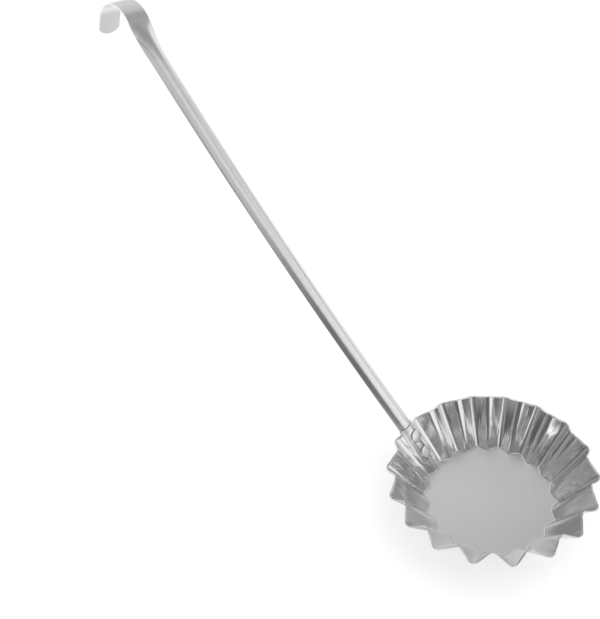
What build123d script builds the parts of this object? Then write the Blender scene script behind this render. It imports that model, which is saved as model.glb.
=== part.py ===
from build123d import *
from math import acos, atan2, ceil, cos, pi, radians, sin, sqrt
import os

# Rosette iron: a fluted sheet-metal cup riveted to a long handle, which is one strip of sheet
# rolled into a channel and left flat at its top for a hanging hook.
# Millimetres, +Z up. The origin is the centre of the cup's flat underside, the cup's mouth faces up
# and the handle leans out towards +X, over an inward flute of the cup.

# Cup, with the radii of its outer face
FLUTE_COUNT = 18
CUP_SHEET = 0.5
BASE_CREST_RADIUS = 31.3
BASE_FLUTE_DEPTH = 2.2
BASE_FOLD_RADIUS = 2.4
BASE_INNER_BEND = 1.0
RIM_CREST_RADIUS = 48.3
RIM_CREST_HEIGHT = 20.0
RIM_FLUTE_DEPTH = 4.0
RIM_WAVE_HEIGHT = 3.8
RIM_FOLD_RADIUS = 2.6

# Handle strip, with the radii of its middle surface
STRIP_WIDTH = 10.5
STRIP_SHEET = 0.8
CHANNEL_RADIUS = 3.75

# Handle run, from its end on the cup up to the hook, with its slopes from level
SEAT_START = 8.0
SEAT_LENGTH = 16.9
NECK_RADIUS = 40.0
SHAFT_START_SLOPE = 51.6
SHAFT_END_SLOPE = 59.1
SHAFT_LENGTH = 224.3
CHANNEL_OPENING_LENGTH = 22.0
CHANNEL_OPENING_POWER = 1.8

# Hook
HOOK_LEAN = 11.3
HOOK_LEAN_LENGTH = 19.4
HOOK_INNER_RADIUS = 12.5
HOOK_TURN = 128.0
HOOK_SIDE_LENGTH = 5.2
HOOK_TIP_RISE = 2.5
HOOK_CORNER_RADIUS = 1.2

# Rivets, placed along the seat line from the cup's floor
RIVET_PLACES = {"rivet_lower": 12.8, "rivet_upper": 22.6}
RIVET_SHANK_RADIUS = 1.5
RIVET_HEAD_RADIUS = 3.1
RIVET_HEAD_HEIGHT = 0.65
RIVET_HEAD_EDGE = 0.45
RIVET_HEAD_BEND = 0.3
RIVET_TAIL_RADIUS = 2.2
RIVET_TAIL_HEIGHT = 1.2

# Ridge of the cup's wall over the handle
RIDGE_RISE = 0.5
RIDGE_TOP = 29.1
RIDGE_END_COVER = 1.2
RIDGE_END_BEND = 1.2

# Clearances and working lengths
SEAT_CLEARANCE = 0.05
RIVET_CLEARANCE = 0.05
CUT_MARGIN = 3.0
SECTION_SPACING = 5.0
RIM_POINTS_PER_FLUTE = 6

os.makedirs("parts", exist_ok=True)

base_valley_radius = BASE_CREST_RADIUS - BASE_FLUTE_DEPTH
rim_valley_radius = RIM_CREST_RADIUS - RIM_FLUTE_DEPTH
rim_valley_height = RIM_CREST_HEIGHT + RIM_WAVE_HEIGHT
half_flute = pi / FLUTE_COUNT

# The wall leans out, so a level cut through it is wider than the sheet is thick.
crest_spread = (RIM_CREST_RADIUS - BASE_CREST_RADIUS) / RIM_CREST_HEIGHT
valley_spread = (rim_valley_radius - base_valley_radius) / rim_valley_height
fold_spread = (RIM_FOLD_RADIUS - BASE_FOLD_RADIUS) / rim_valley_height
level_thickness = CUP_SHEET * sqrt(1 + ((crest_spread + valley_spread) / 2) ** 2)
wall_top = rim_valley_height + CUT_MARGIN


def polar(radius, turn):
    return Vector(radius * cos(turn), radius * sin(turn))


def flute_outline(height, inset):
    # The wall's folded outline at one height, moved inwards by inset, with an inward fold on +X.
    # Straight flanks run between the rounded inward folds and the rounded outward folds.
    crest = BASE_CREST_RADIUS + crest_spread * height
    valley = base_valley_radius + valley_spread * height
    fold = BASE_FOLD_RADIUS + fold_spread * height
    crest_centre = polar(crest - fold, half_flute)
    valley_centre = polar(valley + fold, 0)
    between = crest_centre - valley_centre
    flank_turn = acos(-2 * fold / between.length) - atan2(between.Y, between.X)
    valley_end = valley_centre + polar(fold + inset, pi - flank_turn)
    valley_start = Vector(valley_end.X, -valley_end.Y)
    crest_start = crest_centre + polar(fold - inset, -flank_turn)
    crest_end = polar(crest_start.length, 2 * half_flute - atan2(crest_start.Y, crest_start.X))
    for flute in range(FLUTE_COUNT):
        points = [
            point.rotate(Axis.Z, 360 * (flute + place) / FLUTE_COUNT)
            for point, place in (
                (valley_start, 0),
                (polar(valley - inset, 0), 0),
                (valley_end, 0),
                (crest_start, 0),
                (polar(crest - inset, half_flute), 0),
                (crest_end, 0),
                (valley_start, 1),
            )
        ]
        ThreePointArc(points[0], points[1], points[2])
        Line(points[2], points[3])
        ThreePointArc(points[3], points[4], points[5])
        Line(points[5], points[6])


def rim_line(radius):
    # A closed line on the rim's wave, low at the crests and high at the inward flutes.
    count = FLUTE_COUNT * RIM_POINTS_PER_FLUTE
    points = []
    for step in range(count):
        turn = 2 * pi * step / count
        share = (1 + cos(FLUTE_COUNT * turn)) / 2
        height = RIM_CREST_HEIGHT + RIM_WAVE_HEIGHT * share
        points.append(Vector(radius * cos(turn), radius * sin(turn), height))
    return Spline(*points, periodic=True)


# The seat line is the inner ridge of the flute on +X, walked upwards from the cup's floor.
seat_foot = Vector(base_valley_radius + valley_spread * CUP_SHEET - level_thickness, 0, CUP_SHEET)
seat_direction = Vector(valley_spread, 0, 1).normalized()
seat_normal = seat_direction.cross(Vector(0, 1, 0))
seat_slope = Vector(1, 0, 0).get_angle(seat_direction)

channel_outer_radius = CHANNEL_RADIUS + STRIP_SHEET / 2
channel_inner_radius = CHANNEL_RADIUS - STRIP_SHEET / 2
channel_half_angle = STRIP_WIDTH / 2 / CHANNEL_RADIUS
ridge_radius = channel_outer_radius + SEAT_CLEARANCE + CUP_SHEET
channel_centre = RIDGE_RISE - ridge_radius


def seat_plane(run, level):
    # A plane square to the seat line, with local Y out of the ridge towards the cup's middle.
    origin = seat_foot + seat_direction * run + seat_normal * level
    return Plane(origin=origin, x_dir=(0, 1, 0), z_dir=seat_direction)


def rivet_plane(run, level):
    # A plane along the seat line that faces the cup's middle.
    return Plane(origin=seat_plane(run, level).origin, x_dir=(0, 1, 0), z_dir=seat_normal)


def channel_envelope(gap):
    # The channel's outside grown by gap, about its centre, with straight legs down past the wall.
    radius = channel_outer_radius + gap
    level = channel_outer_radius * cos(channel_half_angle)
    half_width = sqrt(radius**2 - level**2)
    foot = -RIM_CREST_RADIUS / 2
    ThreePointArc((-half_width, level), (0, radius), (half_width, level))
    Polyline((half_width, level), (half_width, foot), (-half_width, foot), (-half_width, level))


# The room that the ridge takes up in the bowl: the channel, its clearance and the sheet over it
with BuildPart() as ridge_room:
    with BuildSketch(seat_plane(SEAT_START - RIDGE_END_COVER, channel_centre)):
        with BuildLine():
            channel_envelope(SEAT_CLEARANCE + CUP_SHEET)
        make_face()
    extrude(amount=RIDGE_TOP + CUT_MARGIN)
    end_arcs = ridge_room.edges().filter_by(GeomType.CIRCLE).sort_by_distance(seat_foot)
    fillet(end_arcs[0], radius=RIDGE_END_BEND)

with BuildPart() as bowl_room:
    for height in (CUP_SHEET, wall_top):
        with BuildSketch(Plane.XY.offset(height)):
            with BuildLine():
                flute_outline(height, level_thickness)
            make_face()
    loft(ruled=True)
    # Inner bend where the wall leaves the floor
    fillet(bowl_room.edges().group_by(Axis.Z)[0], radius=BASE_INNER_BEND)
    add(ridge_room.part, mode=Mode.SUBTRACT)

rim_cut = Face.make_surface_from_curves(
    rim_line(base_valley_radius), rim_line(RIM_CREST_RADIUS + 4 * CUT_MARGIN)
)
with BuildPart() as above_rim:
    extrude(rim_cut, amount=wall_top, dir=(0, 0, 1))
    # The ridge stands above the wave, and its own top edge is cut straight across
    with BuildSketch(seat_plane(SEAT_START, channel_centre)):
        with BuildLine():
            channel_envelope(SEAT_CLEARANCE + CUP_SHEET)
        make_face()
    extrude(amount=RIDGE_TOP - SEAT_START, mode=Mode.SUBTRACT)

with BuildPart() as cup:
    for height in (0, wall_top):
        with BuildSketch(Plane.XY.offset(height)):
            with BuildLine():
                flute_outline(height, 0)
            make_face()
    loft(ruled=True)
    # Outer bend round the base
    fillet(cup.edges().group_by(Axis.Z)[0], radius=BASE_INNER_BEND + CUP_SHEET)
    add(bowl_room.part, mode=Mode.SUBTRACT)
    # Room for the channel behind the ridge
    with BuildSketch(seat_plane(SEAT_START - SEAT_CLEARANCE, channel_centre)):
        with BuildLine():
            channel_envelope(SEAT_CLEARANCE)
        make_face()
    extrude(amount=RIDGE_TOP + CUT_MARGIN, mode=Mode.SUBTRACT)
    # Raw rim, cut on a wave
    add(above_rim.part, mode=Mode.SUBTRACT)
    # Rivet holes
    for place in RIVET_PLACES.values():
        with BuildSketch(rivet_plane(place, channel_centre)):
            Circle(RIVET_SHANK_RADIUS + RIVET_CLEARANCE)
        extrude(amount=2 * channel_outer_radius, mode=Mode.SUBTRACT)

cup.part.label = "cup"
export_step(cup.part, "parts/cup.step")


def strip_outline(roll):
    # The strip's section: flat when roll is 0, else bent to a radius of 1 / roll with its open side
    # down. The widest level of the section lies on local X.
    half_sheet = STRIP_SHEET / 2
    if roll == 0:
        left = -STRIP_WIDTH / 2
        right = STRIP_WIDTH / 2
        Polyline(
            (left, half_sheet), (right, half_sheet), (right, -half_sheet), (left, -half_sheet), close=True
        )
        return
    radius = 1 / roll
    half_angle = STRIP_WIDTH / 2 / radius
    centre = -radius * max(cos(half_angle), 0)

    def point(from_centre, angle):
        return (from_centre * sin(angle), centre + from_centre * cos(angle))

    outer = radius + half_sheet
    inner = radius - half_sheet
    ThreePointArc(point(outer, -half_angle), point(outer, 0), point(outer, half_angle))
    Line(point(outer, half_angle), point(inner, half_angle))
    ThreePointArc(point(inner, half_angle), point(inner, 0), point(inner, -half_angle))
    Line(point(inner, -half_angle), point(outer, -half_angle))


def arc_step(slope, bend, run):
    # How far an arc in the XZ plane gets in run when it sets out at slope and turns by bend per mm.
    after = slope + bend * run
    return Vector((sin(after) - sin(slope)) / bend, 0, (cos(slope) - cos(after)) / bend)


# The handle's route follows the widest level of its section: straight on the seat, a neck that eases
# it back from the wall's slope, then a long gentle bow up to the hook.
seat_level = channel_centre + CHANNEL_RADIUS * cos(channel_half_angle)
neck_start = seat_plane(SEAT_START + SEAT_LENGTH, seat_level).origin
neck_bend = -1 / NECK_RADIUS
neck_length = NECK_RADIUS * radians(seat_slope - SHAFT_START_SLOPE)
shaft_start = neck_start + arc_step(radians(seat_slope), neck_bend, neck_length)
shaft_bend = radians(SHAFT_END_SLOPE - SHAFT_START_SLOPE) / SHAFT_LENGTH
route_length = neck_length + SHAFT_LENGTH


def route_plane(run):
    # The section plane at run past the seat, with local X across the strip and local Y out of its crown.
    if run < neck_length:
        slope = radians(seat_slope) + neck_bend * run
        place = neck_start + arc_step(radians(seat_slope), neck_bend, run)
    else:
        slope = radians(SHAFT_START_SLOPE) + shaft_bend * (run - neck_length)
        place = shaft_start + arc_step(radians(SHAFT_START_SLOPE), shaft_bend, run - neck_length)
    # Near the hook the strip leans steadily more to one side.
    leaning_run = max(0, run - route_length + HOOK_LEAN_LENGTH)
    lean = radians(HOOK_LEAN) * leaning_run / HOOK_LEAN_LENGTH
    place = place - Vector(0, leaning_run * sin(lean / 2), 0)
    ahead = Vector(cos(slope) * cos(lean), -sin(lean), sin(slope) * cos(lean))
    across = Vector(cos(slope) * sin(lean), cos(lean), sin(slope) * sin(lean))
    return Plane(origin=place, x_dir=across, z_dir=ahead)


def strip_roll(run):
    # One channel up the neck and shaft, which opens out flat towards the hook.
    opening = max(0, 1 - (route_length - run) / CHANNEL_OPENING_LENGTH)
    return (1 - opening**CHANNEL_OPENING_POWER) / CHANNEL_RADIUS


section_count = ceil(route_length / SECTION_SPACING)
hook_start = route_plane(route_length)
hook_radius = HOOK_INNER_RADIUS + STRIP_SHEET / 2
hook_centre = hook_start.origin - hook_start.y_dir * hook_radius
hook_turn = radians(HOOK_TURN)
hook_end = Plane(
    origin=hook_centre + (hook_start.y_dir * cos(hook_turn) + hook_start.z_dir * sin(hook_turn)) * hook_radius,
    x_dir=hook_start.x_dir,
    z_dir=hook_start.z_dir * cos(hook_turn) - hook_start.y_dir * sin(hook_turn),
)

with BuildPart() as handle:
    # Seat behind the cup's ridge
    with BuildSketch(seat_plane(SEAT_START, seat_level)):
        with BuildLine():
            strip_outline(1 / CHANNEL_RADIUS)
        make_face()
    extrude(amount=SEAT_LENGTH)
    # Neck and shaft
    for step in range(section_count + 1):
        run = route_length * step / section_count
        with BuildSketch(route_plane(run)):
            with BuildLine():
                strip_outline(strip_roll(run) if step < section_count else 0)
            make_face()
    loft()
    # Hook, bent over towards the handle's open side
    with BuildSketch(hook_start):
        Rectangle(STRIP_WIDTH, STRIP_SHEET)
    revolve(axis=Axis(hook_centre, hook_start.x_dir), revolution_arc=HOOK_TURN)
    # Straight end of the hook, with a bowed tip
    with BuildSketch(Plane(origin=hook_end.origin, x_dir=hook_end.x_dir, z_dir=-hook_end.y_dir)) as hook_tip:
        with BuildLine():
            half_width = STRIP_WIDTH / 2
            left = (-half_width, HOOK_SIDE_LENGTH)
            right = (half_width, HOOK_SIDE_LENGTH)
            Polyline(left, (-half_width, 0), (half_width, 0), right)
            ThreePointArc(right, (0, HOOK_SIDE_LENGTH + HOOK_TIP_RISE), left)
        make_face()
        fillet(hook_tip.vertices().group_by(Axis.Y)[-1], radius=HOOK_CORNER_RADIUS)
    extrude(amount=STRIP_SHEET / 2, both=True)
    # Rivet holes
    for place in RIVET_PLACES.values():
        with BuildSketch(rivet_plane(place, channel_centre)):
            Circle(RIVET_SHANK_RADIUS + RIVET_CLEARANCE)
        extrude(amount=2 * channel_outer_radius, mode=Mode.SUBTRACT)

handle.part.label = "handle"
export_step(handle.part, "parts/handle.step")

# Each rivet has a low domed head on the ridge and a flat tail in the channel's hollow.
hollow_crown = channel_centre + channel_inner_radius
for name, place in RIVET_PLACES.items():
    crown = seat_plane(place, RIDGE_RISE).origin
    with BuildPart() as rivet_tail:
        with BuildSketch(rivet_plane(place, hollow_crown - RIVET_TAIL_HEIGHT)):
            Circle(RIVET_TAIL_RADIUS)
        extrude(amount=RIVET_TAIL_HEIGHT)
        with BuildSketch(seat_plane(place - ridge_radius, channel_centre)):
            Circle(channel_inner_radius)
        extrude(amount=2 * ridge_radius, mode=Mode.INTERSECT)
    with BuildPart() as rivet:
        with BuildSketch(Plane(origin=crown, x_dir=seat_direction, z_dir=(0, -1, 0))) as head_half:
            with BuildLine():
                edge = (RIVET_HEAD_RADIUS, RIVET_HEAD_EDGE)
                top = (0, RIVET_HEAD_HEIGHT)
                TangentArc(top, edge, tangent=(1, 0))
                Polyline(edge, (RIVET_HEAD_RADIUS, -ridge_radius), (0, -ridge_radius), top)
            make_face()
            fillet(head_half.vertices().sort_by_distance(edge)[0], radius=RIVET_HEAD_BEND)
        revolve(axis=Axis(crown, seat_normal))
        with BuildSketch(seat_plane(place - ridge_radius, channel_centre)):
            with BuildLine():
                channel_envelope(SEAT_CLEARANCE + CUP_SHEET)
            make_face()
        extrude(amount=2 * ridge_radius, mode=Mode.SUBTRACT)
        with BuildSketch(rivet_plane(place, hollow_crown - RIVET_TAIL_HEIGHT)):
            Circle(RIVET_SHANK_RADIUS)
        extrude(amount=RIDGE_RISE + RIVET_HEAD_EDGE - hollow_crown + RIVET_TAIL_HEIGHT)
        add(rivet_tail.part)
    rivet.part.label = name
    export_step(rivet.part, f"parts/{name}.step")
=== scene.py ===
from math import radians

import bmesh
import bpy
from mathutils import Matrix, Vector

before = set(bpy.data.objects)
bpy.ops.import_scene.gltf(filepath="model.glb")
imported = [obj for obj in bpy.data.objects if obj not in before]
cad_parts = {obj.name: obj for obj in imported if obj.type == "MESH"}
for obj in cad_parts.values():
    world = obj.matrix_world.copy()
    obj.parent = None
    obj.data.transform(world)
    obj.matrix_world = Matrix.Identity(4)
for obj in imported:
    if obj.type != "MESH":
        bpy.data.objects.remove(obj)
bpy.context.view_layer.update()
print("frame loaded:", sorted(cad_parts))

scene = bpy.context.scene
scene.view_settings.view_transform = "Standard"


def addNode(tree, kind, place, **values):
    # Input names with spaces are written with underscores.
    node = tree.nodes.new(kind)
    node.location = place
    for key, value in values.items():
        socket = key.replace("_", " ")
        if socket in node.inputs:
            node.inputs[socket].default_value = value
        else:
            setattr(node, key, value)
    return node


def newMaterial(name):
    material = bpy.data.materials.new(name)
    material.use_nodes = True
    tree = material.node_tree
    tree.nodes.clear()
    output = addNode(tree, "ShaderNodeOutputMaterial", (900, 0))
    return material, tree, output


def grey(tone):
    return (tone, tone, tone, 1)


# The finish of a drawn or rolled sheet: fine long draw marks, a slow waviness and cloudy patches.
# Each material lays out its Vector so that the marks run the way that the sheet was worked.
finishInputs = {
    "Mark Scale": "markScale",
    "Wave Scale": "waveScale",
    "Cloud Scale": "cloudScale",
    "Mark Share": "markShare",
    "Wave Share": "waveShare",
}
finishNoises = {
    "Mark Scale": {"Detail": 4.0, "Roughness": 0.6},
    "Wave Scale": {"Detail": 1.0, "Roughness": 0.4, "Distortion": 0.5},
    "Cloud Scale": {"Detail": 3.0, "Roughness": 0.5},
}
sheetGroup = bpy.data.node_groups.new("sheetFinish", "ShaderNodeTree")
sheetGroup.interface.new_socket(name="Vector", in_out="INPUT", socket_type="NodeSocketVector")
for socketName in finishInputs:
    sheetGroup.interface.new_socket(name=socketName, in_out="INPUT", socket_type="NodeSocketFloat")
for socketName in ("Clouds", "Height"):
    sheetGroup.interface.new_socket(name=socketName, in_out="OUTPUT", socket_type="NodeSocketFloat")
groupIn = addNode(sheetGroup, "NodeGroupInput", (-700, 0))
groupOut = addNode(sheetGroup, "NodeGroupOutput", (500, 0))
noises = []
for scaleName, settings in finishNoises.items():
    noise = addNode(sheetGroup, "ShaderNodeTexNoise", (-300, 240 - 240 * len(noises)), **settings)
    sheetGroup.links.new(groupIn.outputs["Vector"], noise.inputs["Vector"])
    sheetGroup.links.new(groupIn.outputs[scaleName], noise.inputs["Scale"])
    noises.append(noise)
marks, waves, clouds = noises
waveHeight = addNode(sheetGroup, "ShaderNodeMath", (0, 0), operation="MULTIPLY")
height = addNode(sheetGroup, "ShaderNodeMath", (240, 120), operation="MULTIPLY_ADD")
sheetGroup.links.new(waves.outputs["Fac"], waveHeight.inputs[0])
sheetGroup.links.new(groupIn.outputs["Wave Share"], waveHeight.inputs[1])
sheetGroup.links.new(marks.outputs["Fac"], height.inputs[0])
sheetGroup.links.new(groupIn.outputs["Mark Share"], height.inputs[1])
sheetGroup.links.new(waveHeight.outputs["Value"], height.inputs[2])
sheetGroup.links.new(clouds.outputs["Fac"], groupOut.inputs["Clouds"])
sheetGroup.links.new(height.outputs["Value"], groupOut.inputs["Height"])
print("sheet finish group built")


def addFinish(tree, vector, look, place):
    finish = addNode(tree, "ShaderNodeGroup", place, node_tree=sheetGroup)
    for socketName, key in finishInputs.items():
        finish.inputs[socketName].default_value = look[key]
    tree.links.new(vector, finish.inputs["Vector"])
    return finish


def spread(tree, source, sourceRange, targetRange, place):
    # Maps one range of values onto another.
    node = addNode(
        tree, "ShaderNodeMapRange", place,
        From_Min=sourceRange[0], From_Max=sourceRange[1], To_Min=targetRange[0], To_Max=targetRange[1],
    )
    tree.links.new(source, node.inputs["Value"])
    return node.outputs["Result"]


def mixed(tree, factor, low, high, kind, place):
    # Blends two values or colours. Each is a fixed one or comes from a node's output.
    node = addNode(tree, "ShaderNodeMix", place, data_type=kind)
    wanted = {"FLOAT": "VALUE", "RGBA": "RGBA"}[kind]
    ends = [socket for socket in node.inputs if socket.type == wanted and socket.name in ("A", "B")]
    tree.links.new(factor, node.inputs["Factor"])
    for end, source in zip(ends, (low, high)):
        if isinstance(source, bpy.types.NodeSocket):
            tree.links.new(source, end)
        else:
            end.default_value = source
    return next(socket for socket in node.outputs if socket.type == wanted)


def greyBlend(tree, factor, tones, place):
    # A grey colour between a dark and a light tone.
    return mixed(tree, factor, grey(tones[0]), grey(tones[1]), "RGBA", place)


def metalShader(tree, output, colour, roughness, bumpHeight, look):
    bump = addNode(tree, "ShaderNodeBump", (400, -300), Strength=look["bump"], Distance=look["bumpDepth"])
    shader = addNode(tree, "ShaderNodeBsdfPrincipled", (650, 0), Metallic=1.0)
    tree.links.new(colour, shader.inputs["Base Color"])
    tree.links.new(roughness, shader.inputs["Roughness"])
    tree.links.new(bumpHeight, bump.inputs["Height"])
    tree.links.new(bump.outputs["Normal"], shader.inputs["Normal"])
    tree.links.new(shader.outputs["BSDF"], output.inputs["Surface"])


noiseRange = (0.3, 0.7)      # where nearly all of a noise's values lie
rivetNames = ("rivet_lower", "rivet_upper")

cupLook = {
    "wall": {
        "markScale": 1500.0, "waveScale": 520.0, "cloudScale": 400.0, "markShare": 0.25, "waveShare": 1.1,
        "roughness": (0.08, 0.15), "tones": (0.76, 0.90),
    },
    "floor": {
        "markScale": 1500.0, "waveScale": 50.0, "cloudScale": 45.0, "markShare": 0.06, "waveShare": 0.5,
        "roughness": (0.26, 0.34), "tones": (0.84, 0.90),
    },
    "bend": (0.0005, 0.0016),    # the heights between which the floor's finish gives way to the wall's
    "unrollRadius": 0.04,        # the wall's marks are laid out as on a cylinder of this radius
    "markSqueeze": 0.06,         # draws the marks out up the wall
    "rim": {                     # the cut edge on the rim's wave, rough and bare of marks
        "low": 0.0200, "wave": 0.0038, "flutes": 18, "depth": 0.00035,
        "roughness": 0.38, "tone": 0.93,
    },
    "ridge": {"foot": (0.0291, 0), "top": (0.0443, 0.0238)},    # radius and height of its two ends
    "headFace": 0.0001,          # points this close to a rivet head's highest one lie on its outer face
    # painted shade: a dark ring on the sheet round each rivet's head stands for the shadow where the head
    # meets the ridge
    "rivetShade": {"reach": 0.00345, "fade": 0.0001, "tone": 0.22},   # the dark line round a rivet's head
    "bump": 0.35,
    "bumpDepth": 0.0003,
}


def headCentre(nodeName):
    # The middle of a rivet's head, on its outer face, which lies square to the ridge's slope.
    (footRadius, footHeight), (topRadius, topHeight) = cupLook["ridge"]["foot"], cupLook["ridge"]["top"]
    outward = Vector((footHeight - topHeight, 0, topRadius - footRadius)).normalized()
    places = sorted((v.co.dot(outward), v.co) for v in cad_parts[nodeName].data.vertices)
    top = places[-1][0]
    face = [co for reach, co in places if reach > top - cupLook["headFace"]]
    return sum(face, Vector()) / len(face)


# Wall: the place round the cup, at one radius, plus a squeezed height.
cupSheet, tree, output = newMaterial("cupSheet")
coords = addNode(tree, "ShaderNodeTexCoord", (-1700, 0))
split = addNode(tree, "ShaderNodeSeparateXYZ", (-1500, -300))
flat = addNode(tree, "ShaderNodeVectorMath", (-1500, 100), operation="MULTIPLY")
flat.inputs[1].default_value = (1, 1, 0)
onCircle = addNode(tree, "ShaderNodeVectorMath", (-1300, 100), operation="NORMALIZE")
unrolled = addNode(tree, "ShaderNodeVectorMath", (-1100, 100), operation="SCALE")
unrolled.inputs["Scale"].default_value = cupLook["unrollRadius"]
rise = addNode(tree, "ShaderNodeMath", (-1300, -300), operation="MULTIPLY")
rise.inputs[1].default_value = cupLook["markSqueeze"]
riseVector = addNode(tree, "ShaderNodeCombineXYZ", (-1100, -300))
wallVector = addNode(tree, "ShaderNodeVectorMath", (-900, 0), operation="ADD")
tree.links.new(coords.outputs["Object"], split.inputs["Vector"])
tree.links.new(coords.outputs["Object"], flat.inputs[0])
tree.links.new(flat.outputs["Vector"], onCircle.inputs[0])
tree.links.new(onCircle.outputs["Vector"], unrolled.inputs[0])
tree.links.new(split.outputs["Z"], rise.inputs[0])
tree.links.new(rise.outputs["Value"], riseVector.inputs["Z"])
tree.links.new(unrolled.outputs["Vector"], wallVector.inputs[0])
tree.links.new(riseVector.outputs["Vector"], wallVector.inputs[1])
wallFinish = addFinish(tree, wallVector.outputs["Vector"], cupLook["wall"], (-600, 200))
floorFinish = addFinish(tree, coords.outputs["Object"], cupLook["floor"], (-600, -200))
onWall = spread(tree, split.outputs["Z"], cupLook["bend"], (0, 1), (-600, -500))
colours = []
roughnesses = []
for finish, look, row in ((floorFinish, cupLook["floor"], -200), (wallFinish, cupLook["wall"], 200)):
    finishClouds = finish.outputs["Clouds"]
    colours.append(greyBlend(tree, finishClouds, look["tones"], (-300, row)))
    roughnesses.append(spread(tree, finishClouds, noiseRange, look["roughness"], (-300, row - 150)))
colour = mixed(tree, onWall, *colours, "RGBA", (0, 200))
roughness = mixed(tree, onWall, *roughnesses, "FLOAT", (0, 0))

# The rim's cut edge: within a little of the wave's own height.
rim = cupLook["rim"]
around = addNode(tree, "ShaderNodeMath", (-1300, -700), operation="ARCTAN2")
lobes = addNode(tree, "ShaderNodeMath", (-1100, -700), operation="MULTIPLY")
lobes.inputs[1].default_value = rim["flutes"]
swing = addNode(tree, "ShaderNodeMath", (-900, -700), operation="COSINE")
crest = addNode(tree, "ShaderNodeMath", (-700, -700), operation="MULTIPLY_ADD")
crest.inputs[1].default_value = rim["wave"] / 2
crest.inputs[2].default_value = rim["low"] + rim["wave"] / 2
below = addNode(tree, "ShaderNodeMath", (-500, -700), operation="SUBTRACT")
tree.links.new(split.outputs["Y"], around.inputs[0])
tree.links.new(split.outputs["X"], around.inputs[1])
tree.links.new(around.outputs["Value"], lobes.inputs[0])
tree.links.new(lobes.outputs["Value"], swing.inputs[0])
tree.links.new(swing.outputs["Value"], crest.inputs[0])
tree.links.new(crest.outputs["Value"], below.inputs[0])
tree.links.new(split.outputs["Z"], below.inputs[1])
onRim = spread(tree, below.outputs["Value"], (0, rim["depth"]), (1, 0), (-300, -700))
colour = mixed(tree, onRim, colour, grey(rim["tone"]), "RGBA", (120, 300))
roughness = mixed(tree, onRim, roughness, rim["roughness"], "FLOAT", (120, 0))

# Painted shade round each rivet's head: the sheet is darkened in a thin ring where the head's contact
# shadow falls.
rivetShade = cupLook["rivetShade"]
for nodeName in rivetNames:
    apart = addNode(tree, "ShaderNodeVectorMath", (-300, 500), operation="DISTANCE")
    apart.inputs[1].default_value = headCentre(nodeName)
    tree.links.new(coords.outputs["Object"], apart.inputs[0])
    shadeEdge = (rivetShade["reach"], rivetShade["reach"] + rivetShade["fade"])
    inRivetShade = spread(tree, apart.outputs["Value"], shadeEdge, (1, 0), (-100, 500))
    colour = mixed(tree, inRivetShade, colour, grey(rivetShade["tone"]), "RGBA", (250, 300))
bumpHeight = mixed(
    tree, onWall, floorFinish.outputs["Height"], wallFinish.outputs["Height"], "FLOAT", (0, -200)
)
metalShader(tree, output, colour, roughness, bumpHeight, cupLook)

handleLook = {
    "markScale": 1200.0, "waveScale": 90.0, "cloudScale": 60.0, "markShare": 0.08, "waveShare": 0.3,
    "roughness": (0.28, 0.36), "tones": (0.84, 0.93),
    "turn": (0, radians(55), 0),     # lays local X along the shaft
    "squeeze": (0.06, 1, 1),
    "bump": 0.25,
    "bumpDepth": 0.0003,
}
rivetLook = {
    "markScale": 1500.0, "waveScale": 300.0, "cloudScale": 250.0, "markShare": 0.08, "waveShare": 0.15,
    "roughness": (0.20, 0.28), "tones": (0.88, 0.95),
    "turn": (0, 0, 0),
    "squeeze": (1, 1, 1),
    "bump": 0.2,
    "bumpDepth": 0.0002,
}


def stripMaterial(name, look):
    # Bright metal whose marks run along the piece.
    material, tree, output = newMaterial(name)
    coords = addNode(tree, "ShaderNodeTexCoord", (-1100, 0))
    mapping = addNode(tree, "ShaderNodeMapping", (-900, 0), Rotation=look["turn"], Scale=look["squeeze"])
    tree.links.new(coords.outputs["Object"], mapping.inputs["Vector"])
    finish = addFinish(tree, mapping.outputs["Vector"], look, (-600, 0))
    metalShader(
        tree, output,
        greyBlend(tree, finish.outputs["Clouds"], look["tones"], (-200, 200)),
        spread(tree, finish.outputs["Clouds"], noiseRange, look["roughness"], (-200, 0)),
        finish.outputs["Height"],
        look,
    )
    return material


rivetSteel = stripMaterial("rivetSteel", rivetLook)
finishes = {"cup": cupSheet, "handle": stripMaterial("handleSheet", handleLook)}
finishes.update((nodeName, rivetSteel) for nodeName in rivetNames)
for nodeName, material in finishes.items():
    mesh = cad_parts[nodeName].data
    mesh.materials.clear()
    mesh.materials.append(material)
print("metal finishes assigned:", len(finishes))

studio = {
    "floorSide": 6.0,
    "floorDrop": 0.0002,
    "tableCardDrop": 0.0001,     # cards on the table lie above the floor and below the cup
    "floorTone": 0.98,
    "floorGlow": 0.7,            # how far the floor is lit up for the rays that see it
    "worldStrength": 1.0,
}
halfPanel = 0.5                  # a panel starts one unit wide, and so does its map


def seenRays(tree, place):
    # 1 for camera, glossy and transmission rays.
    rays = addNode(tree, "ShaderNodeLightPath", place)
    first = addNode(tree, "ShaderNodeMath", (place[0] + 200, place[1]), operation="MAXIMUM")
    both = addNode(tree, "ShaderNodeMath", (place[0] + 400, place[1]), operation="MAXIMUM")
    tree.links.new(rays.outputs["Is Camera Ray"], first.inputs[0])
    tree.links.new(rays.outputs["Is Glossy Ray"], first.inputs[1])
    tree.links.new(first.outputs["Value"], both.inputs[0])
    tree.links.new(rays.outputs["Is Transmission Ray"], both.inputs[1])
    return both.outputs["Value"]


def addPanel(name, size, centre, facing, material):
    # A flat studio panel that faces a point.
    mesh = bpy.data.meshes.new(name)
    shape = bmesh.new()
    shape.loops.layers.uv.new("panelMap")
    bmesh.ops.create_grid(shape, x_segments=1, y_segments=1, size=halfPanel, calc_uvs=True)
    bmesh.ops.scale(shape, vec=(size[0], size[1], 1), verts=shape.verts)
    turn = (Vector(facing) - Vector(centre)).to_track_quat("Z", "Y").to_matrix().to_4x4()
    bmesh.ops.transform(shape, matrix=Matrix.Translation(centre) @ turn, verts=shape.verts)
    shape.to_mesh(mesh)
    shape.free()
    panel = bpy.data.objects.new(name, mesh)
    scene.collection.objects.link(panel)
    mesh.materials.append(material)
    return panel


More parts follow.
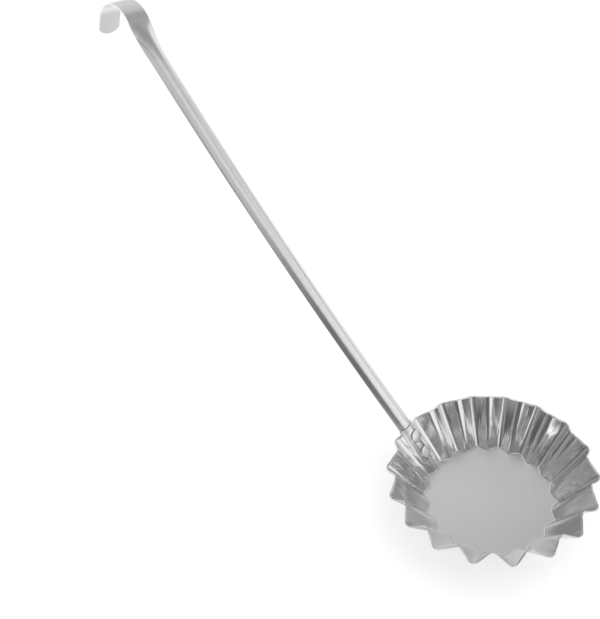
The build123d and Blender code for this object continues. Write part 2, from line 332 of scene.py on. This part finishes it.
floorMaterial, tree, output = newMaterial("floorPaper")
paper = addNode(tree, "ShaderNodeBsdfDiffuse", (200, 100), Color=grey(studio["floorTone"]))
glow = addNode(tree, "ShaderNodeEmission", (200, -100))
blend = addNode(tree, "ShaderNodeMixShader", (500, 0))
lift = addNode(tree, "ShaderNodeMath", (0, 300), operation="MULTIPLY")
lift.inputs[1].default_value = studio["floorGlow"]
tree.links.new(seenRays(tree, (-700, 300)), lift.inputs[0])
tree.links.new(lift.outputs["Value"], blend.inputs["Fac"])
tree.links.new(paper.outputs["BSDF"], blend.inputs[1])
tree.links.new(glow.outputs["Emission"], blend.inputs[2])
tree.links.new(blend.outputs["Shader"], output.inputs["Surface"])
floorSize = (studio["floorSide"], studio["floorSide"])
addPanel("floor", floorSize, (0, 0, -studio["floorDrop"]), (0, 0, 1), floorMaterial)

world = bpy.data.worlds.new("studioWorld")
scene.world = world
world.use_nodes = True
background = world.node_tree.nodes["Background"]
background.inputs["Color"].default_value = grey(1)
background.inputs["Strength"].default_value = studio["worldStrength"]
print("floor and world built")

# Grey cards out of view give the bright metal something to show. Each fades out from its core
# to its edge. They face a point on or near the iron, but those on the table face straight up,
# and the ceiling faces straight down.
cupAim = (0, 0, 0.01)
shaftAim = (0.13, 0, 0.11)
hookAim = (0.18, 0, 0.2)
onTable = -studio["tableCardDrop"]
cards = {
    "nearSide": {
        "centre": (-0.02, 0.14, 0.036), "aim": (-0.02, 0, 0.036),
        "size": (0.34, 0.29), "tone": 0.14, "core": 0.54,
    },
    "nearTable": {
        "centre": (0.05, 0.23, onTable), "aim": (0.05, 0.23, 1),
        "size": (0.62, 0.52), "tone": 0.14, "core": 0.5,
    },
    "nearFar": {
        "centre": (-0.17, 1.12, 0.42), "aim": shaftAim,
        "size": (1.6, 1.2), "tone": 0.58, "core": 0.6,
    },
    "rightSide": {
        "centre": (0.21, 0.085, 0.052), "aim": cupAim,
        "size": (0.37, 0.33), "tone": 0.26, "core": 0.6,
    },
    "ceiling": {
        "centre": (0, 0.35, 1.0), "aim": (0, 0.35, 0),
        "size": (4.0, 4.0), "tone": 0.28, "core": 0.7,
    },
    "ridgeLight": {
        "centre": (0.53, 0.14, 0.85), "aim": cupAim,
        "size": (0.24, 0.24), "tone": 2.4, "core": 0.4,
    },
    "ridgeBack": {
        "centre": (0.56, -0.34, 0.85), "aim": cupAim,
        "size": (0.34, 0.30), "tone": 2.2, "core": 0.4,
    },
    "floorLight": {
        "centre": (0.25, -0.47, 0.66), "aim": cupAim,
        "size": (0.55, 0.50), "tone": 0.64, "core": 0.6,
    },
    "backHigh": {
        "centre": (-0.07, -0.285, 0.535), "aim": hookAim,
        "size": (0.45, 0.42), "tone": 0.32, "core": 0.4,
    },
    "leftHigh": {
        "centre": (-0.25, -0.03, 0.52), "aim": hookAim,
        "size": (0.60, 0.42), "tone": 0.50, "core": 0.4,
    },
    "rightBack": {
        "centre": (0.5, -0.45, 0.42), "aim": hookAim,
        "size": (0.9, 0.6), "tone": 0.70, "core": 0.5,
    },
    "leftLow": {
        "centre": (-0.45, -0.7, 0.28), "aim": shaftAim,
        "size": (0.44, 0.5), "tone": 0.45, "core": 0.4,
    },
    "leftBack": {
        "centre": (-0.34, -0.84, 0.20), "aim": shaftAim,
        "size": (1.5, 0.80), "tone": 0.66, "core": 0.6,
    },
    "leftNear": {
        "centre": (-0.17, 0.17, 0.42), "aim": hookAim,
        "size": (0.35, 0.36), "tone": 0.78, "core": 0.5,
    },
    "farTable": {
        "centre": (0.10, 0.75, onTable), "aim": (0.10, 0.75, 1),
        "size": (1.1, 0.9), "tone": 0.52, "core": 0.6,
    },
    "underHook": {
        "centre": (0.09, -0.07, onTable), "aim": (0.09, -0.07, 1),
        "size": (0.30, 0.24), "tone": 0.66, "core": 0.5,
    },
}
hiddenRays = ("visible_camera", "visible_diffuse", "visible_shadow", "visible_transmission")


def cardMaterial(name, tone, core):
    # Grey at the core, clear at the edge.
    material, tree, output = newMaterial(name)
    coords = addNode(tree, "ShaderNodeTexCoord", (-900, 0))
    fromMiddle = addNode(tree, "ShaderNodeVectorMath", (-700, 0), operation="DISTANCE")
    fromMiddle.inputs[1].default_value = (halfPanel, halfPanel, 0)
    shine = addNode(tree, "ShaderNodeEmission", (200, -100), Color=grey(tone))
    clear = addNode(tree, "ShaderNodeBsdfTransparent", (200, 100))
    blend = addNode(tree, "ShaderNodeMixShader", (500, 0))
    tree.links.new(coords.outputs["UV"], fromMiddle.inputs[0])
    fade = spread(tree, fromMiddle.outputs["Value"], (core * halfPanel, halfPanel), (1, 0), (-400, 0))
    tree.links.new(fade, blend.inputs["Fac"])
    tree.links.new(clear.outputs["BSDF"], blend.inputs[1])
    tree.links.new(shine.outputs["Emission"], blend.inputs[2])
    tree.links.new(blend.outputs["Shader"], output.inputs["Surface"])
    return material


for cardName, card in cards.items():
    material = cardMaterial(cardName, card["tone"], card["core"])
    panel = addPanel(cardName, card["size"], card["centre"], card["aim"], material)
    for rays in hiddenRays:
        setattr(panel, rays, False)
print("cards placed:", len(cards))

topLamp = {"side": 0.8, "place": (-0.3, -0.3, 1.0), "aim": (0.05, 0, 0.05), "power": 4.0}
light = bpy.data.lights.new("topLamp", "AREA")
light.shape = "RECTANGLE"
light.size = light.size_y = topLamp["side"]
light.energy = topLamp["power"]
lampObject = bpy.data.objects.new("topLamp", light)
scene.collection.objects.link(lampObject)
lampPlace = Vector(topLamp["place"])
lampTurn = (Vector(topLamp["aim"]) - lampPlace).to_track_quat("-Z", "Y").to_matrix().to_4x4()
lampObject.matrix_world = Matrix.Translation(lampPlace) @ lampTurn
lampObject.visible_glossy = False
print("lamp placed")

view = {
    "place": (-0.1034, 0.20466, 0.32491),
    "right": (-0.7693, -0.6252, -0.1317),
    "down": (-0.3372, 0.5725, -0.7474),
    "focalPixels": 782.0,
    "photoHeight": 619,      # the photo's longer side, which the sensor spans
    "sensor": 36.0,
    "clipStart": 0.01,
}
right = Vector(view["right"]).normalized()
ahead = right.cross(Vector(view["down"])).normalized()
up = right.cross(ahead)
camera = bpy.data.cameras.new("photoView")
camera.sensor_width = view["sensor"]
camera.lens = view["focalPixels"] / view["photoHeight"] * view["sensor"]
camera.clip_start = view["clipStart"]
cameraObject = bpy.data.objects.new("photoView", camera)
scene.collection.objects.link(cameraObject)
turn = Matrix((right, up, -ahead)).transposed().to_4x4()
cameraObject.matrix_world = Matrix.Translation(view["place"]) @ turn
scene.camera = cameraObject
print("camera placed")
